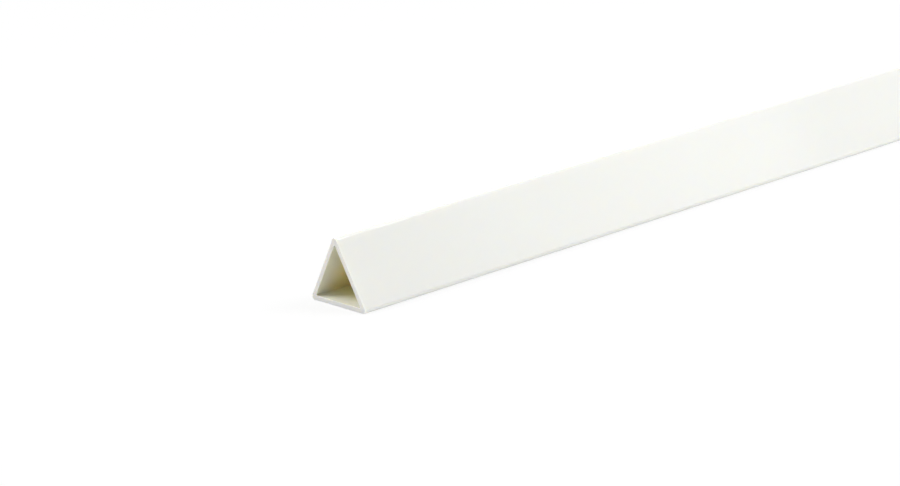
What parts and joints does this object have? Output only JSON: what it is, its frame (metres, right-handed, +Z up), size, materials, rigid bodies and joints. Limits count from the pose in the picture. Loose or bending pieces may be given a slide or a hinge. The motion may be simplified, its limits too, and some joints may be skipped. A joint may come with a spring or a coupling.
{
  "type": "triangular pvc trim",
  "caption": "Straight hollow white PVC trim strip of equilateral triangle section with slightly rounded edges, cut square at both ends.",
  "frame": {"origin": "under the middle of the strip's length and width, on the surface that its base lies on", "axes": "+X along the strip towards its far cut end, +Y across the base, +Z up through the top edge"},
  "size_m": [1, 0.02, 0.0176],
  "materials": {
    "white_pvc": "satin"
  },
  "bodies": {
    "root": {"triangular_trim": "white_pvc"}
  },
  "joints": []
}
